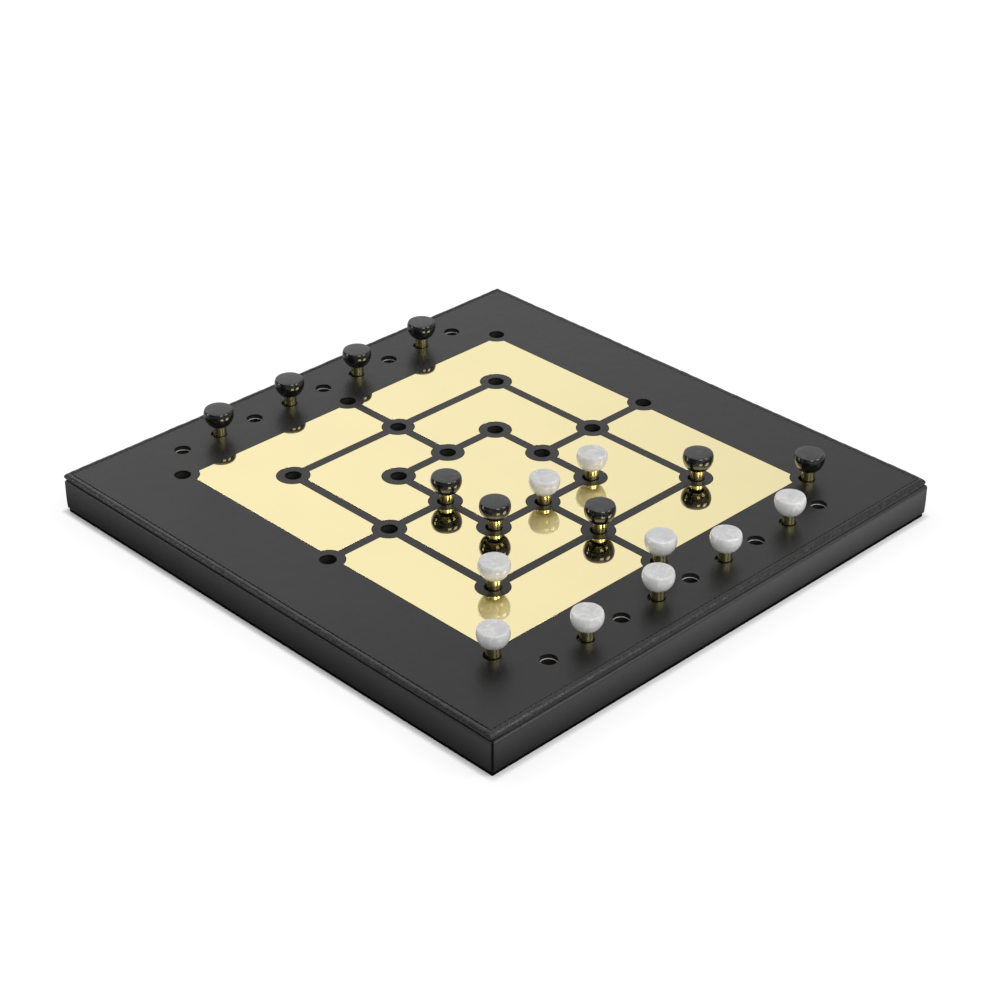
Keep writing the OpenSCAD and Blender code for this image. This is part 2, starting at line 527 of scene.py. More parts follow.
@dataclass(frozen=True)
class Napped:
    """Suede or felt: short fibres, brushed in soft patches, with a sheen at low angles."""

    name: str
    colour: Colour
    brushed: Colour
    nap: float = 0.25 * MM
    sheen: float = 0.3
    specular: float = 0.2
    depth: float = 0.12 * MM
    stroke: float = 28 * MM
    drift: Pair = (20 * MM, 25 * MM)

    def make(self) -> bpy.types.Material:
        """Builds the material.

        Returns:
            The material.
        """
        finish = Finish(self.name, Sheen_Weight=self.sheen, Specular_IOR_Level=self.specular)
        strokes = finish.cloud(self.stroke, 3.0, 0.5, finish.warped(*self.drift))
        fibres = finish.cloud(self.nap, 3.0, 0.7)
        tone = strokes.rise(0.35, 0.65) * 0.6 + fibres * 0.4
        finish.paint("Base Color", finish.mix(tone, self.colour, self.brushed))
        finish.paint("Roughness", 0.85 + 0.1 * fibres)
        finish.relief((fibres, self.depth))
        return finish.material


@dataclass(frozen=True)
class Twine:
    """Waxed thread with its ply running slantwise round each stitch."""

    name: str
    colour: Colour
    ply: float = 0.5 * MM
    depth: float = 0.05 * MM

    def make(self) -> bpy.types.Material:
        """Builds the material.

        Returns:
            The material.
        """
        finish = Finish(self.name, Specular_IOR_Level=0.15)
        x, y, z = (finish.axis(name, finish.place) for name in "XYZ")
        slant = x + y + 0.8 * z
        ply = (slant * (2 * math.pi / self.ply)).wave()
        finish.paint("Base Color", finish.mix(ply, grey(0.004), self.colour))
        finish.paint("Roughness", 0.45 + 0.2 * ply)
        finish.relief((ply, self.depth))
        return finish.material


class Finishes:
    """Every material of the box, made once and shared by its pieces."""

    def __init__(self) -> None:
        """Builds them."""
        self.top_leather = Leather("top_leather").make()
        self.binding_leather = Leather(
            "binding_leather",
            roughness=0.36,
            wrinkle=5 * MM,
            wrinkle_depth=0.5 * MM,
            cell=2.6 * MM,
            cell_depth=0.22 * MM,
            painted_sheen=0.3,
        ).make()
        self.side_leather = Leather(
            "side_leather",
            dark=0.003,
            pale=0.0055,
            roughness=0.48,
            ior=1.2,
            coat_ior=1.58,
            wrinkle=11 * MM,
            wrinkle_depth=0.2 * MM,
            cell_depth=0.05 * MM,
            painted_sheen=1.0,
        ).make()
        self.plate_brass = Brass(
            "plate_brass", colour=(0.965, 0.85, 0.48, 1), bloom=(0.945, 0.835, 0.475, 1)
        ).make()
        self.stem_brass = TurnedBrass(
            "stem_brass", colour=(0.78, 0.7, 0.34, 1), tarnish=(0.52, 0.46, 0.2, 1)
        ).make()
        self.stone = {
            Stone.WHITE: Marble(
                "white_stone",
                body=grey(0.59),
                cloud=grey(0.67),
                vein=grey(0.84, 0.01),
                vein_share=0.42,
                ior=1.5,
                depth=0.75,
            ).make(),
            Stone.BLACK: Marble(
                "black_stone",
                body=grey(0.003),
                cloud=grey(0.006),
                vein=grey(0.06),
                vein_share=0.4,
                ior=1.58,
            ).make(),
        }
        self.tray_wood = Wood("tray_wood", grey(0.008, 0.08), grey(0.016, 0.08)).make()
        self.lid_wood = Wood("lid_wood", grey(0.006, 0.1), grey(0.014, 0.1)).make()
        self.suede = Napped("suede", grey(0.022, 0.03), grey(0.045, 0.03)).make()
        self.felt = Napped("felt", grey(0.002), grey(0.005), 0.4 * MM, 0.0, 0.03).make()
        self.thread = Twine("thread", grey(0.008)).make()
        pale, paler = grey(0.75, 0.01), grey(0.9, 0.01)
        self.pale_ring = Wood("pale_ring", pale, paler, (1, 1, 1), 0.7).make()


def finished_piece(
    name: str,
    shape: Shape,
    material: bpy.types.Material,
    body: str,
    replaced: Sequence[str] = (),
    crease: float = 35.0,
) -> bpy.types.Object:
    """Turns a finished bmesh into a piece of the scene.

    Args:
        name: the piece's name.
        shape: its bmesh, which is freed.
        material: its material.
        body: the CAD body that it rides on.
        replaced: the CAD nodes that it stands for.
        crease: the angle in degrees past which an edge stays sharp.

    Returns:
        The new object.
    """
    mesh = bpy.data.meshes.new(name)
    shape.to_mesh(mesh)
    shape.free()
    mesh.materials.append(material)
    mesh.shade_smooth()
    mesh.set_sharp_from_angle(angle=math.radians(crease))
    piece = bpy.data.objects.new(name, mesh)
    bpy.context.scene.collection.objects.link(piece)
    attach(piece, body)
    if replaced:
        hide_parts(*replaced)
    log.info("%s: %d faces on %s", name, len(mesh.polygons), body)
    return piece


def keep_flat_faces_flat(piece: bpy.types.Object) -> None:
    """Weights a bevelled piece's normals by face area, so that its large faces stay flat."""
    weighted = piece.modifiers.new("flat faces", "WEIGHTED_NORMAL")
    weighted.keep_sharp = True


def merged_copy(node: str) -> Shape:
    """Copies a CAD node's mesh, merges its doubles and makes its flat faces whole.

    Args:
        node: the node's name.

    Returns:
        The copy.
    """
    shape = bmesh.new()
    shape.from_mesh(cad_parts[node].data)
    bmesh.ops.remove_doubles(shape, verts=shape.verts, dist=MERGE)
    bmesh.ops.dissolve_limit(shape, angle_limit=FLAT, verts=shape.verts, edges=shape.edges)
    return shape


def bevel_edges(shape: Shape, edges: Sequence[Edge], width: float, steps: int) -> None:
    """Rounds some edges of a bmesh.

    Args:
        shape: the bmesh.
        edges: the edges to round.
        width: how far the rounding reaches from each edge.
        steps: how many segments it has.
    """
    bmesh.ops.bevel(
        shape,
        geom=list(edges),
        offset=width,
        offset_type="OFFSET",
        segments=steps,
        profile=0.5,
        affect="EDGES",
        clamp_overlap=False,
        material=-1,
    )


def rim_edges(shape: Shape, height: float) -> list[Edge]:
    """Finds the sharp edges of a bmesh that lie at one height.

    Args:
        shape: the bmesh.
        height: their Z.

    Returns:
        The edges.
    """
    return [
        edge
        for edge in shape.edges
        if all(abs(vert.co.z - height) < LEVEL for vert in edge.verts)
        and len(edge.link_faces) == 2
        and edge.calc_face_angle() > SHARP
    ]


def turned(outline: Sequence[Pair], centre: Vector, steps: int) -> Shape:
    """Spins an outline of radius and height round an upright axis into a closed solid.

    Args:
        outline: the radius and the height of each point.
        centre: a point on the axis.
        steps: how many segments the turn has.

    Returns:
        The solid.
    """
    shape = bmesh.new()
    verts = [shape.verts.new((centre.x + radius, centre.y, height)) for radius, height in outline]
    edges = [shape.edges.new(pair) for pair in zip(verts, verts[1:])]
    bmesh.ops.spin(
        shape,
        geom=verts + edges,
        cent=(centre.x, centre.y, 0),
        axis=(0, 0, 1),
        dvec=(0, 0, 0),
        angle=2 * math.pi,
        steps=steps,
        use_merge=True,
    )
    bmesh.ops.remove_doubles(shape, verts=shape.verts, dist=FINE_MERGE)
    bmesh.ops.recalc_face_normals(shape, faces=shape.faces)
    return shape


def arc(
    centre: Pair,
    radii: Pair,
    start: float,
    end: float,
    steps: int,
    fullness: float = 2.0,
) -> list[Pair]:
    """Points along an arc of a circle, an ellipse or a fuller or flatter curve of their kind.

    Args:
        centre: its middle.
        radii: its half widths along the first and the second axis.
        start: the first angle in degrees, from the first axis.
        end: the last angle in degrees.
        steps: how many segments it has.
        fullness: 2 for an ellipse, more for a boxier curve and less for a more pointed one.

    Returns:
        The points from start to end.
    """
    points = []
    for step in range(steps + 1):
        angle = math.radians(start + (end - start) * step / steps)
        ways = math.cos(angle), math.sin(angle)
        bent = (math.copysign(abs(way) ** (2 / fullness), way) for way in ways)
        parts = zip(centre, radii, bent)
        points.append(tuple(middle + radius * way for middle, radius, way in parts))
    return points


@dataclass
class TopLeather:
    """The lid's top leather, whose outer edge is drawn down to the seam."""

    finishes: Finishes
    rim_round: float = 0.3 * MM
    dip_width: float = 0.5 * MM
    dip_depth: float = 0.5 * MM
    dip_steps: int = 4
    dip_spread: float = 1.6
    box: NodeBox = field(default_factory=lambda: NodeBox.of("lid_top_leather"))

    def build(self) -> None:
        """Makes the leather from its CAD node, rounds its rims and draws its edge down."""
        node = "lid_top_leather"
        shape = merged_copy(node)
        bevel_edges(shape, self._inner_rims(shape), self.rim_round, 3)
        self._cut_dip_lines(shape)
        self._draw_edge_down(shape)
        leather = self.finishes.top_leather
        piece = finished_piece("top_leather", shape, leather, "lid", [node])
        keep_flat_faces_flat(piece)

    def edge_distance(self, point: Vector) -> float:
        """How far a point lies in from the leather's outer edge."""
        offset = point - self.box.centre
        return self.box.half - max(abs(offset.x), abs(offset.y))

    def _inner_rims(self, shape: Shape) -> list[Edge]:
        """The rims of the holes and of the windows for the brass."""
        return [
            edge
            for edge in rim_edges(shape, self.box.high.z)
            if all(self.edge_distance(vert.co) > self.dip_width for vert in edge.verts)
        ]

    def _cut_dip_lines(self, shape: Shape) -> None:
        """Cuts the leather along lines beside its four edges, closer together towards the edge.

        Args:
            shape: the leather.
        """
        for side in Side:
            for step in range(1, self.dip_steps + 1):
                inset = self.dip_width * (step / self.dip_steps) ** self.dip_spread
                bmesh.ops.bisect_plane(
                    shape,
                    geom=shape.verts[:] + shape.edges[:] + shape.faces[:],
                    plane_co=self.box.centre + side.outward * (self.box.half - inset),
                    plane_no=side.outward,
                    dist=FINE_MERGE,
                )

    def _draw_edge_down(self, shape: Shape) -> None:
        """Rounds the outermost band of the leather down to the seam.

        Args:
            shape: the leather.
        """
        for vert in shape.verts:
            share = 1 - self.edge_distance(vert.co) / self.dip_width
            if share > 0 and vert.co.z > self.box.high.z - LEVEL:
                vert.co.z -= self.dip_depth * (1 - math.sqrt(max(0.0, 1 - min(share, 1) ** 2)))


@dataclass
class BrassInlay:
    """The nine mirror-polished plates of the board."""

    finishes: Finishes
    rim_round: float = 0.08 * MM

    def build(self) -> None:
        """Makes each plate from its CAD node and eases its upper edges."""
        for node in sorted(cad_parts):
            if node.startswith("plate_"):
                shape = merged_copy(node)
                bevel_edges(shape, rim_edges(shape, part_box(node)[1].z), self.rim_round, 2)
                name, brass = node.replace("plate", "brass"), self.finishes.plate_brass
                piece = finished_piece(name, shape, brass, "lid", [node])
                keep_flat_faces_flat(piece)


@dataclass(frozen=True)
class BeadForm:
    """How the bead is rolled along one side of the lid."""

    crest: float
    drop: float
    tuck: float

    def blended(self, other: "BeadForm", share: float) -> "BeadForm":
        """A form between this one, at 0, and another, at 1."""
        pairs = zip(astuple(self), astuple(other))
        return BeadForm(*(mine + (its - mine) * share for mine, its in pairs))


def corner_share(share: float) -> float:
    """How near a place along a side is to the corner: 0 along most of the side and 1 at its end."""
    return max(0.0, (abs(share) - 0.9) / 0.1) ** 2


@dataclass
class EdgeBinding:
    """The rolled leather bead round the lid, with its hem and the stitches along its seam."""

    finishes: Finishes
    bead_width: float = 4.3 * MM
    crest_rise: float = 0.3 * MM
    seam_depth: float = 1.0 * MM
    foot_round: float = 0.4 * MM
    hem_width: float = 3.2 * MM
    hem_height: float = 1.1 * MM
    tuck_bend: float = 1.4
    front_form: BeadForm = BeadForm(1.0 * MM, 3.3 * MM, 0.1 * MM)
    left_form: BeadForm = BeadForm(1.9 * MM, 2.8 * MM, 1.4 * MM)
    back_form: BeadForm = BeadForm(1.9 * MM, 2.2 * MM, 0.9 * MM)
    fullness: float = 1.7
    corner_power: float = 380.0
    lump: float = 0.22 * MM
    lump_size: float = 7 * MM
    pull: float = 0.1 * MM
    pitch: float = 1.1 * MM
    stitch_inset: float = 0.35 * MM
    stitch_pitch: float = 4.05 * MM
    stitch_length: float = 1.5 * MM
    stitch_radius: float = 0.3 * MM
    box: NodeBox = field(default_factory=lambda: NodeBox.of("lid_edge_binding"))
    top: float = field(default_factory=lambda: NodeBox.of("lid_top_leather").high.z)

    def build(self) -> None:
        """Makes the bead and the stitches."""
        self._bead()
        self._stitches()

    @property
    def seam_half(self) -> float:
        """From the middle of the lid to the seam."""
        return self.box.half - self.bead_width

    def _form(self, side: Side, share: float) -> BeadForm:
        """The bead's form at one place, which runs evenly from one side into the next.

        Args:
            side: the side of the lid.
            share: the place along the side, from -1 to 1.

        Returns:
            The form.
        """
        forms = {Side.FRONT: self.front_form, Side.LEFT: self.left_form}
        beside = forms.get(Side((side.value + (1 if share > 0 else -1)) % 4), self.back_form)
        return forms.get(side, self.back_form).blended(beside, corner_share(share) / 2)

    def _section(self, form: BeadForm) -> list[Pair]:
        """Draws the bead's closed section.

        Args:
            form: how the bead is rolled there.

        Returns:
            How far out from the seam each point lies, and its height.
        """
        foot, width = self.box.low.z, self.bead_width
        widest = self.top + self.crest_rise - form.drop
        heel, toe = foot + self.foot_round, width - form.tuck
        inner_radii = (form.crest, self.seam_depth + self.crest_rise)
        inner = arc((form.crest, self.top - self.seam_depth), inner_radii, 180, 90, 8)
        outer = arc((form.crest, widest), (width - form.crest, form.drop), 90, 0, 10, self.fullness)
        bend, shares = self.tuck_bend, [step / 6 for step in range(1, 7)]
        face = [(width - form.tuck * s**bend, widest + (heel - widest) * s) for s in shares]
        lower = arc((toe - self.foot_round, heel), (self.foot_round,) * 2, 0, -90, 4)
        over = foot + self.hem_height
        hem = [(-self.hem_width, foot), (-self.hem_width, over), (0.0, over)]
        return inner + outer[1:] + face + lower[1:] + hem

    def _bead(self) -> None:
        """Wraps a grid along the section and round the lid, and makes its skin lumpy."""
        across = len(self._section(self.back_form))
        along = round(2 * self.box.half / self.pitch)
        steps = range(4 * along)
        places = [(Side(step // along), 2 * (step % along) / along - 1) for step in steps]
        sections = [self._section(self._form(side, share)) for side, share in places]
        shape = bmesh.new()
        bmesh.ops.create_grid(shape, x_segments=4 * along, y_segments=across, size=0.5)
        middle = self.box.centre * Vector((1, 1, 0))
        for vert in shape.verts:
            step = round((vert.co.x + 0.5) * 4 * along) % (4 * along)
            out, height = sections[step][round((vert.co.y + 0.5) * across) % across]
            side, share = places[step]
            outness = out / self.bead_width
            reach = (self.seam_half + out) * (1 - self._corner_cut(share) * max(outness, 0.0))
            point = middle + side.turn @ Vector((share * reach, -reach, height))
            if out > 0 and height > self.box.low.z + self.foot_round / 2:
                point += self._lump(point, side.outward, outness)
            vert.co = point
        bmesh.ops.remove_doubles(shape, verts=shape.verts, dist=MERGE)
        bmesh.ops.recalc_face_normals(shape, faces=shape.faces)
        leather, node = self.finishes.binding_leather, "lid_edge_binding"
        finished_piece("edge_binding", shape, leather, "lid", [node], 60.0)

    def _corner_cut(self, share: float) -> float:
        """The part of its reach that the bead's outer edge loses, which rounds the corners."""
        return 1 - (1 + abs(share) ** self.corner_power) ** (-1 / self.corner_power)

    def _lump(self, point: Vector, outward: Vector, share: float) -> Vector:
        """How a point of the bead is moved, as leather pulled in by stitches lies.

        Args:
            point: the point on the even bead.
            outward: the direction away from the lid.
            share: the point's place from the seam, 0, to the outer edge, 1.

        Returns:
            The move.
        """
        slow = noise.noise(point / self.lump_size)
        quick = noise.noise(point / (0.3 * self.lump_size) + Vector((7, 3, 1)))
        swell = self.lump * (slow + 0.6 * quick)
        lift = math.sin(math.pi * min(share, 1.0))
        inward = min(0.5 * swell - self.pull, 0.0)
        return outward * inward * share + Vector((0, 0, swell * lift))

    def _stitches(self) -> None:
        """Sinks a row of short stitches into the top leather just inside the seam."""
        shape = bmesh.new()
        height = self.top - 0.5 * self.stitch_radius
        count = int(2 * self.seam_half / self.stitch_pitch)
        size = Matrix.Diagonal((self.stitch_length / 2, self.stitch_radius, self.stitch_radius, 1))
        middle = Matrix.Translation(self.box.centre * Vector((1, 1, 0)))
        ball = {"u_segments": 6, "v_segments": 6, "radius": 1}
        for side in Side:
            for step in range(count):
                x = (step - (count - 1) / 2) * self.stitch_pitch
                place = Matrix.Translation((x, -self.seam_half + self.stitch_inset, height))
                matrix = middle @ side.turn @ place @ size
                bmesh.ops.create_uvsphere(shape, matrix=matrix, **ball)
        thread = self.finishes.thread
        finished_piece("seam_stitches", shape, thread, "lid", (), 80.0)


@dataclass
class TraySides:
    """The four padded leather panels round the tray, which leave a narrow seam at each corner."""

    finishes: Finishes
    edge_round: float = 1.1 * MM
    end_round: float = 0.35 * MM
    corner_seam: float = 0.6 * MM
    drawn_in: float = 0.3 * MM
    swell: float = 0.12 * MM
    swell_size: float = 24 * MM
    ripple: float = 0.3
    ripple_size: float = 6 * MM
    front_lift: Pair = (0.6 * MM, 0.1 * MM)
    left_lift: Pair = (0.6 * MM, 0.6 * MM)
    back_lift: Pair = (0.2 * MM, 0.1 * MM)
    pitch: float = 2.0 * MM
    face_steps: int = 14
    box: NodeBox = field(default_factory=lambda: NodeBox.of("side_leather_front"))

    def build(self) -> None:
        """Makes the four panels."""
        for side in Side:
            self._panel(side)

    @property
    def thickness(self) -> float:
        """The panel's thickness."""
        return self.box.high.y - self.box.low.y

    def _section(self) -> list[Pair]:
        """Draws the panel's section.

        Returns:
            How far out from the wall each point lies, and its height.
        """
        low, high = self.box.low.z, self.box.high.z
        turn_in, steps = self.edge_round, self.face_steps
        half = (high - low) / 2
        centre = self.thickness - turn_in
        lower = arc((centre, low + turn_in), (turn_in, turn_in), -90, 0, 4)
        upper = arc((centre, high - turn_in), (turn_in, turn_in), 0, 90, 4)
        rise = high - low - 2 * turn_in
        face = [(self.thickness, low + turn_in + rise * step / steps) for step in range(1, steps)]
        bowed = [
            (out - self.drawn_in * max(0.0, 1 - (height - low) / half) ** 2, height)
            for out, height in lower + face + upper
        ]
        return [(0.0, low)] + bowed + [(0.0, high)]

    def _places(self) -> list[Pair]:
        """Places the section along the panel, closer together where its ends are rounded.

        Returns:
            Each place's share from -1 to 1, and how far the panel is drawn in there.
        """
        length = self.box.half
        curve = self.end_round / length
        ending = arc((1 - curve, self.end_round), (curve, -self.end_round), 0, 90, 4)
        reach = ending[-1][0]
        count = round(2 * length / self.pitch)
        plain = [(reach * (2 * i / count - 1), 0.0) for i in range(1, count)]
        return [(-share, inset) for share, inset in ending] + plain + ending[::-1]

    def _lift(self, side: Side, share: float, outness: float) -> float:
        """How far the upper edge stands above its CAD height.

        Args:
            side: the side that the panel is on.
            share: the place along the side, from -1 to 1.
            outness: 0 at the wall and 1 at the panel's face.

        Returns:
            The lift, which is no more than the front's at the corners.
        """
        lifts = {Side.FRONT: self.front_lift, Side.LEFT: self.left_lift}
        inner, outer = lifts.get(side, self.back_lift)
        lift = inner + (outer - inner) * outness
        near = min(1.0, 2 * corner_share(share) ** 0.5)
        return lift + (min(lift, self.front_lift[0]) - lift) * near

    def _panel(self, side: Side) -> None:
        """Wraps a grid along one panel and closes its two ends.

        Args:
            side: the side that the panel is on.
        """
        section, places = self._section(), self._places()
        across, along = len(section), len(places) - 1
        wall = self.box.high.y
        end = self.box.half - self.thickness - self.corner_seam
        low, high = self.box.low.z, self.box.high.z
        shape = bmesh.new()
        bmesh.ops.create_grid(shape, x_segments=along, y_segments=across, size=0.5)
        for vert in shape.verts:
            share, inset = places[round((vert.co.x + 0.5) * along)]
            out, height = section[round((vert.co.y + 0.5) * across) % across]
            level, outness = (height - low) / (high - low), out / self.thickness
            point = Vector((share * (end + out), wall - max(out - inset, 0.0), height))
            place = side.turn @ point
            ripple = self.ripple * noise.noise(place / self.ripple_size)
            swell = noise.noise(place / self.swell_size) + ripple
            point.y += self.swell * abs(swell) * outness * (1 - level**8)
            point.z += self._lift(side, share, outness) * max(4 * level - 3, 0.0)
            vert.co = side.turn @ point
        bmesh.ops.remove_doubles(shape, verts=shape.verts, dist=MERGE)
        ends = [edge for edge in shape.edges if edge.is_boundary]
        bmesh.ops.holes_fill(shape, edges=ends, sides=0)
        bmesh.ops.recalc_face_normals(shape, faces=shape.faces)
        name, leather = side.name.lower(), self.finishes.side_leather
        nodes = [f"side_leather_{name}"]
        finished_piece(f"side_{name}", shape, leather, "tray", nodes, 50.0)


@dataclass
class Peg:
    """One peg: a turned stone head on a turned brass stem."""

    finishes: Finishes
    stone: Stone
    number: int
    flat_radius: float = 8.9 * MM
    edge_height: float = 4.2 * MM
    neck_radius: float = 4.75 * MM
    dome: float = 0.15 * MM
    bowl_fullness: float = 1.7
    foot_chamfer: float = 0.6 * MM
    neck_ease: Pair = (0.2 * MM, 0.25 * MM)

    def build(self) -> None:
        """Makes the head and the stem."""
        self._head()
        self._stem()

    def _named(self, part: str) -> str:
        """The frame's name for the peg or a part of it."""
        return f"{self.stone.value}_{part}_{self.number}"

    def _head(self) -> None:
        """Turns the head: a flat top with a rounded edge, over a full bowl."""
        node = self._named("head")
        box = NodeBox.of(node)
        foot = box.low.z
        ring = box.high.z - foot - self.edge_height
        shares = (0, 0.4, 0.8)
        flat = [(self.flat_radius * share, box.high.z - self.dome * share**2) for share in shares]
        edge_radii = (box.half - self.flat_radius, self.edge_height - self.dome)
        edge = arc((self.flat_radius, foot + ring), edge_radii, 90, 0, 12)
        bowl_radii = (box.half - self.neck_radius, ring)
        bowl = arc((self.neck_radius, foot + ring), bowl_radii, 0, -90, 22, self.bowl_fullness)
        shape = turned(flat + edge + bowl[1:] + [(0.0, foot)], box.centre, 72)
        stone, slot = self.finishes.stone[self.stone], f"{self.stone.value}_stone"
        finished_piece(self._named("stone"), shape, stone, self._named("peg"), [node], 50.0)

    def _stem(self) -> None:
        """Turns the stem: a chamfered foot and a plain shank, eased where it meets the head."""
        node = self._named("stem")
        box = NodeBox.of(node)
        foot, neck = box.low.z, NodeBox.of(self._named("head")).low.z
        half, cut = box.half, self.foot_chamfer
        inset, drop = self.neck_ease
        lower = [(0.0, foot), (half - cut, foot), (half, foot + cut)]
        upper = [(half, neck - drop), (half - inset, neck), (0.0, neck)]
        shape = turned(lower + upper, box.centre, 56)
        brass, body = self.finishes.stem_brass, self._named("peg")
        finished_piece(self._named("shank"), shape, brass, body, [node])


@dataclass
class StorageRims:
    """A thin pale ring that shows inside each hole of the two storage rows."""

    finishes: Finishes
    hole_radius: float = 5.5 * MM
    lip: float = 0.2 * MM
    play: float = 0.01 * MM
    height: float = 0.34 * MM
    pitch: float = 31 * MM
    row: float = 170.4 * MM
    holes: int = 9

    def build(self) -> None:
        """Makes a thin ring in each storage hole, just under the lid's panel."""
        panel = NodeBox.of("lid_panel")
        inner, outer = self.hole_radius - self.lip, self.hole_radius - self.play
        low, high = panel.low.z - self.height / 2, panel.low.z + self.height / 2
        outline = [(inner, low), (outer, low), (outer, high), (inner, high), (inner, low)]
        shape = bmesh.new()
        for way in (-1, 1):
            for step in range(self.holes):
                x = (step - (self.holes - 1) / 2) * self.pitch
                ring = turned(outline, panel.centre + Vector((x, way * self.row, 0)), 40)
                mesh = bpy.data.meshes.new("ring")
                ring.to_mesh(mesh)
                ring.free()
                shape.from_mesh(mesh)
                bpy.data.meshes.remove(mesh)
        pale_finish = self.finishes.pale_ring
        finished_piece("storage_hole_rims", shape, pale_finish, "lid", (), 60.0)


@dataclass
class InnerParts:
    """The wooden, suede and felt parts, which keep their CAD shapes."""

    finishes: Finishes

    def dress(self) -> None:
        """Gives each of these nodes its material."""
        wearing = {
            "base_pad": self.finishes.felt,
            "tray_lining": self.finishes.suede,
            "tray_floor": self.finishes.tray_wood,
            "lid_peg_block": self.finishes.lid_wood,
            "lid_panel": self.finishes.lid_wood,
        }
        wearing |= {f"tray_wall_{side.name.lower()}": self.finishes.tray_wood for side in Side}
        for node, material in wearing.items():
            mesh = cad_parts[node].data
            mesh.materials.clear()
            mesh.materials.append(material)
            log.info("%s: keeps its CAD shape", node)


@dataclass
class Lamp:
    """A square soft box that looks at a point of the board."""

    name: str
    place: Vector
    size: float
    power: float

    def build(self) -> None:
        """Hangs the lamp."""
        light = bpy.data.lights.new(self.name, "AREA")
        light.shape = "SQUARE"
        light.size = self.size
        light.energy = self.power
        lamp = bpy.data.objects.new(self.name, light)
        turn = (-self.place).to_track_quat("-Z", "Y").to_matrix().to_4x4()
        lamp.matrix_world = Matrix.Translation(self.place) @ turn
        bpy.context.scene.collection.objects.link(lamp)


@dataclass(frozen=True)
class Slope:
    """An amount that comes in smoothly between two places."""

    amount: float
    start: float
    end: float

    def at(self, place: Value) -> Value:
        """How much of the amount there is at a place."""
        return self.amount * place.rise(self.start, self.end)


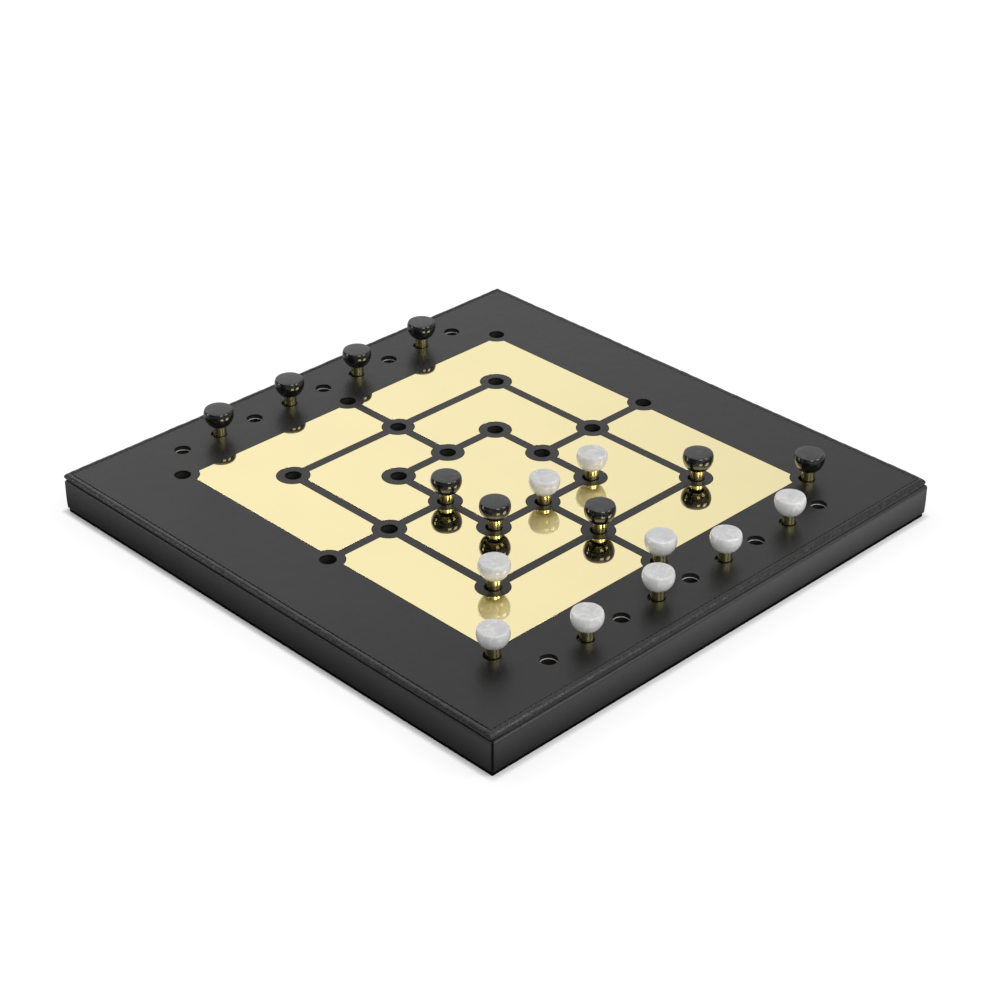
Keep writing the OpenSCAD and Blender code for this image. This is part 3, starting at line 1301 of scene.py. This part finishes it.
@dataclass
class Studio:
    """The pale floor, the soft light and the camera at the photograph's angle."""

    floor_size: float = 12.0
    floor_colour: float = 0.58
    floor_seen: float = 0.95
    backdrop_share: float = 0.62
    backdrop_left: Slope = Slope(0.12, 0.02, -0.08)
    backdrop: float = 1.1
    shadow_reach: Pair = (4 * MM, 70 * MM)
    bounce: float = 1.25
    bounce_span: Pair = (-0.1, 0.3)
    ambient: float = 0.55
    low_left: float = 0.05
    low_right: float = 0.7
    low_span: Pair = (-0.6, 0.9)
    flank: float = 0.45
    flank_span: Pair = (0.1, 0.4)
    flank_left: Slope = Slope(0.35, -0.1, -0.6)
    wall: float = 1.0
    wall_span: Pair = (0.3, 0.9)
    wall_right: Slope = Slope(0.3, -0.12, 0.4)
    wall_left: Slope = Slope(0.32, -0.13, -0.5)
    zenith: float = 1.1
    zenith_span: Pair = (0.62, 0.85)
    zenith_left: Slope = Slope(0.12, -0.1, -0.5)
    crown: float = 1.2
    crown_span: Pair = (0.8, 0.86)
    crown_end: Pair = (0.97, 0.93)
    crown_front: Pair = (-0.1, -0.25)
    camera_aim: Pair = (-19.04 * MM, -23.04 * MM)
    camera_distance: float = 1512.8 * MM
    camera_yaw: float = -44.826
    camera_height: float = 31.042
    camera_roll: float = 0.252
    lens: float = 84.625
    sensor: float = 36.0

    def build(self) -> None:
        """Sets up everything that isn't part of the box."""
        self._floor()
        self._world()
        self._camera()
        Lamp("key_light", Vector((-0.15, 1.0, 1.1)), 0.9, 2.5).build()
        Lamp("front_light", Vector((-0.47, -1.15, 0.75)), 0.5, 5.0).build()
        Lamp("right_light", Vector((0.5, -1.1, 0.75)), 0.5, 5.0).build()
        Lamp("left_light", Vector((-1.0, 0.9, 0.25)), 0.3, 1.6).build()
        bpy.context.scene.view_settings.view_transform = "Standard"

    @staticmethod
    def _rays(graph: Graph) -> tuple[Value, Value]:
        """Tells which rays ask.

        Args:
            graph: the node tree that asks.

        Returns:
            1 for camera rays, and 1 for rays from a mirror or through glass.
        """
        path = graph.node("ShaderNodeLightPath").outputs
        kinds = ("Camera", "Glossy", "Transmission")
        camera, glossy, through = (Value(graph, path[f"Is {kind} Ray"]) for kind in kinds)
        return camera, glossy.larger(through)

    def _floor(self) -> None:
        """Lays the floor, which keeps the box's shadow and turns white further off."""
        shape = bmesh.new()
        bmesh.ops.create_grid(shape, x_segments=1, y_segments=1, size=self.floor_size / 2)
        mesh = bpy.data.meshes.new("floor")
        shape.to_mesh(mesh)
        shape.free()
        material = bpy.data.materials.new("floor")
        material.use_nodes = True
        graph = Graph(material.node_tree)
        camera, mirrored = self._rays(graph)
        colour = graph.mix(camera.socket, grey(self.floor_colour), grey(self.floor_seen))
        matt = graph.node("ShaderNodeBsdfDiffuse", {}, {"Color": colour})
        white = graph.node("ShaderNodeEmission", {}, {"Strength": self.backdrop})
        place = graph.node("ShaderNodeTexCoord").outputs["Object"]
        x, y = (graph.axis(name, place) for name in "XY")
        beside, before = ((abs(way) - CAD_BOX[1][0]).larger(0.0) for way in (x, y))
        gap = (beside * beside + before * before) ** 0.5
        near, far = (gap.rise(0.0, reach) for reach in self.shadow_reach)
        across = (x - y) * DIAGONAL
        bounce = near * (1 - far) * across.rise(*self.bounce_span) * self.bounce
        close = near * (self.backdrop_share + self.backdrop_left.at(across))
        share = camera * (close + (1 - close) * far) + mirrored * bounce
        mixed = {0: share, 1: matt.outputs[0], 2: white.outputs[0]}
        both = graph.node("ShaderNodeMixShader", {}, mixed)
        graph.node("ShaderNodeOutputMaterial", {}, {"Surface": both.outputs[0]})
        mesh.materials.append(material)
        floor = bpy.data.objects.new("floor", mesh)
        bpy.context.scene.collection.objects.link(floor)

    def _world(self) -> None:
        """Surrounds the box with white, brightest behind it, which lights it less than it shows."""
        world = bpy.data.worlds.new("studio")
        world.use_nodes = True
        bpy.context.scene.world = world
        graph = Graph(world.node_tree)
        camera, mirrored = self._rays(graph)
        way = graph.node("ShaderNodeTexCoord").outputs["Generated"]
        x, y, z = (graph.axis(name, way) for name in "XYZ")
        level = (1 - z * z).larger(0.0001) ** 0.5
        behind, across = (x + y) * DIAGONAL, (x - y) * DIAGONAL
        low = self.low_left + (self.low_right - self.low_left) * across.rise(*self.low_span)
        height = (z - self.flank_left.at(across)).rise(*self.flank_span)
        flank = low + (self.flank - low) * height
        wall = flank + (self.wall - flank) * (behind / level).rise(*self.wall_span)
        shown = wall * (1 - self.wall_right.at(across) + self.wall_left.at(across))
        height = (z - self.zenith_left.at(across)).rise(*self.zenith_span)
        shown = shown + (self.zenith - shown) * height
        crown = z.rise(*self.crown_span) * z.rise(*self.crown_end) * behind.rise(*self.crown_front)
        shown = shown + self.crown * crown
        plain = self.ambient * (1 - mirrored) + mirrored * shown
        strength = plain * (1 - camera) + camera
        light = graph.node("ShaderNodeBackground", {}, {"Color": grey(1.0), "Strength": strength})
        graph.node("ShaderNodeOutputWorld", {}, {"Surface": light.outputs[0]})

    def _camera(self) -> None:
        """Stands the camera where the photograph was taken from."""
        angles = (self.camera_yaw, self.camera_height, self.camera_roll)
        yaw, rise, roll = (math.radians(angle) for angle in angles)
        level = math.cos(rise)
        back = Vector((math.sin(yaw) * level, -math.cos(yaw) * level, math.sin(rise)))
        right = Vector((math.cos(yaw), math.sin(yaw), 0))
        up = back.cross(right)
        across = math.cos(roll) * right + math.sin(roll) * up
        upward = math.cos(roll) * up - math.sin(roll) * right
        lens = bpy.data.cameras.new("camera")
        lens.lens = self.lens
        lens.sensor_width = self.sensor
        camera = bpy.data.objects.new("camera", lens)
        turn = Matrix((across, upward, back)).transposed().to_4x4()
        aim = Vector((*self.camera_aim, NodeBox.of("lid_top_leather").high.z))
        camera.matrix_world = Matrix.Translation(aim + back * self.camera_distance) @ turn
        bpy.context.scene.collection.objects.link(camera)
        bpy.context.scene.camera = camera


def main() -> None:
    """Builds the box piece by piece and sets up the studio."""
    logging.basicConfig(level=logging.INFO, format="%(name)s: %(message)s")
    finishes = Finishes()
    TopLeather(finishes).build()
    BrassInlay(finishes).build()
    EdgeBinding(finishes).build()
    TraySides(finishes).build()
    StorageRims(finishes).build()
    for stone in Stone:
        for number in range(1, 10):
            Peg(finishes, stone, number).build()
    InnerParts(finishes).dress()
    Studio().build()


if __name__ == "__main__":
    main()
